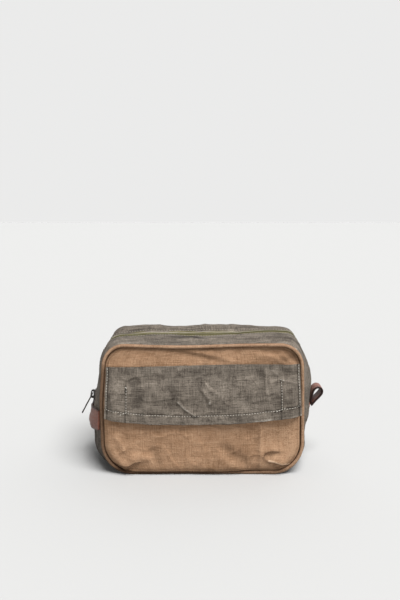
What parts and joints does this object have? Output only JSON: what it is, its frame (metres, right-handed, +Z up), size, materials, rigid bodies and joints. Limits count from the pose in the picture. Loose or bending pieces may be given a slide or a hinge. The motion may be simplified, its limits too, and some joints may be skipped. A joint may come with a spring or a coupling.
{
  "type": "shaving kit bag",
  "caption": "Zipped box-shaped canvas kit bag with piped panels, a front pocket under a flap, a leather side strap and loop, and a metal zipper slider.",
  "frame": {"origin": "middle of the base, on the surface the bag stands on, at mid width of the panels and mid depth of the gusset", "axes": "+X to the right along the bag's length seen from the front, +Y to the back, +Z up; the front pocket faces -Y"},
  "size_m": [0.3222, 0.1381, 0.1633],
  "materials": {
    "tan_canvas": "waxed canvas, matt",
    "tan_piping": "waxed canvas over a cord, matt",
    "grey_canvas": "waxed canvas, matt",
    "zipper_tape": "woven polyester tape",
    "zipper_coil": "nylon coil, slight sheen",
    "dark_metal": "blackened, satin",
    "leather": "reddish-brown, satin",
    "lining": "plain woven lining, matt",
    "binding": "woven seam binding",
    "board": "stiffener sheet, matt"
  },
  "bodies": {
    "shell": {"back_panel_lower": "tan_canvas", "base_board": "board", "binding_back_lower": "binding", "binding_front": "binding", "bottom_gusset": "grey_canvas", "front_panel": "tan_canvas", "lining_back_lower": "lining", "lining_front": "lining", "lining_gusset_front": "lining", "lining_gusset_lower": "lining", "loop_anchor": "leather", "piping_back_lower": "tan_piping", "piping_front": "tan_piping", "pocket_hem": "tan_canvas", "pocket_panel": "tan_canvas", "side_strap": "leather", "zip_gusset_front": "grey_canvas", "zipper_coil_back_left_end": "zipper_coil", "zipper_coil_back_right_end": "zipper_coil", "zipper_coil_front": "zipper_coil", "zipper_stop_left": "dark_metal", "zipper_stop_right": "dark_metal", "zipper_tape_back_left_end": "zipper_tape", "zipper_tape_back_right_end": "zipper_tape", "zipper_tape_front": "zipper_tape"},
    "mouth_back": {"back_panel_upper": "tan_canvas", "piping_back_upper": "tan_piping", "zip_gusset_back": "grey_canvas", "zipper_tape_back": "zipper_tape", "zipper_coil_back": "zipper_coil", "lining_back_upper": "lining", "lining_gusset_back": "lining", "binding_back_upper": "binding"},
    "flap": {"pocket_flap": "grey_canvas"},
    "slider": {"slider_body": "dark_metal", "slider_bail": "dark_metal"},
    "puller": {"pull_tab": "dark_metal"},
    "loop": {"leather_loop": "leather"}
  },
  "joints": [
    {"name": "mouth_open", "type": "hinge", "parent": "shell", "child": "mouth_back", "pos_m": [0, 0.0668, 0.0818], "axis": [-1, 0, 0], "range_deg": [0, 25]},
    {"name": "flap_lift", "type": "hinge", "parent": "shell", "child": "flap", "pos_m": [0, -0.0631, 0.1333], "axis": [-1, 0, 0], "range_deg": [0, 150]},
    {"name": "slider_run", "type": "slide", "parent": "shell", "child": "slider", "axis": [0.1747, 0, 0.9846], "range_m": [0, 0.045]},
    {"name": "puller_swing", "type": "hinge", "parent": "slider", "child": "puller", "pos_m": [-0.14726, 0, 0.08201], "axis": [0, 1, 0], "range_deg": [0, 140]},
    {"name": "loop_bend", "type": "hinge", "parent": "shell", "child": "loop", "pos_m": [0.1462, 0, 0.0752], "axis": [0, 1, 0], "range_deg": [-3, 50], "stiffness_Nm_per_rad": 0.02}
  ]
}
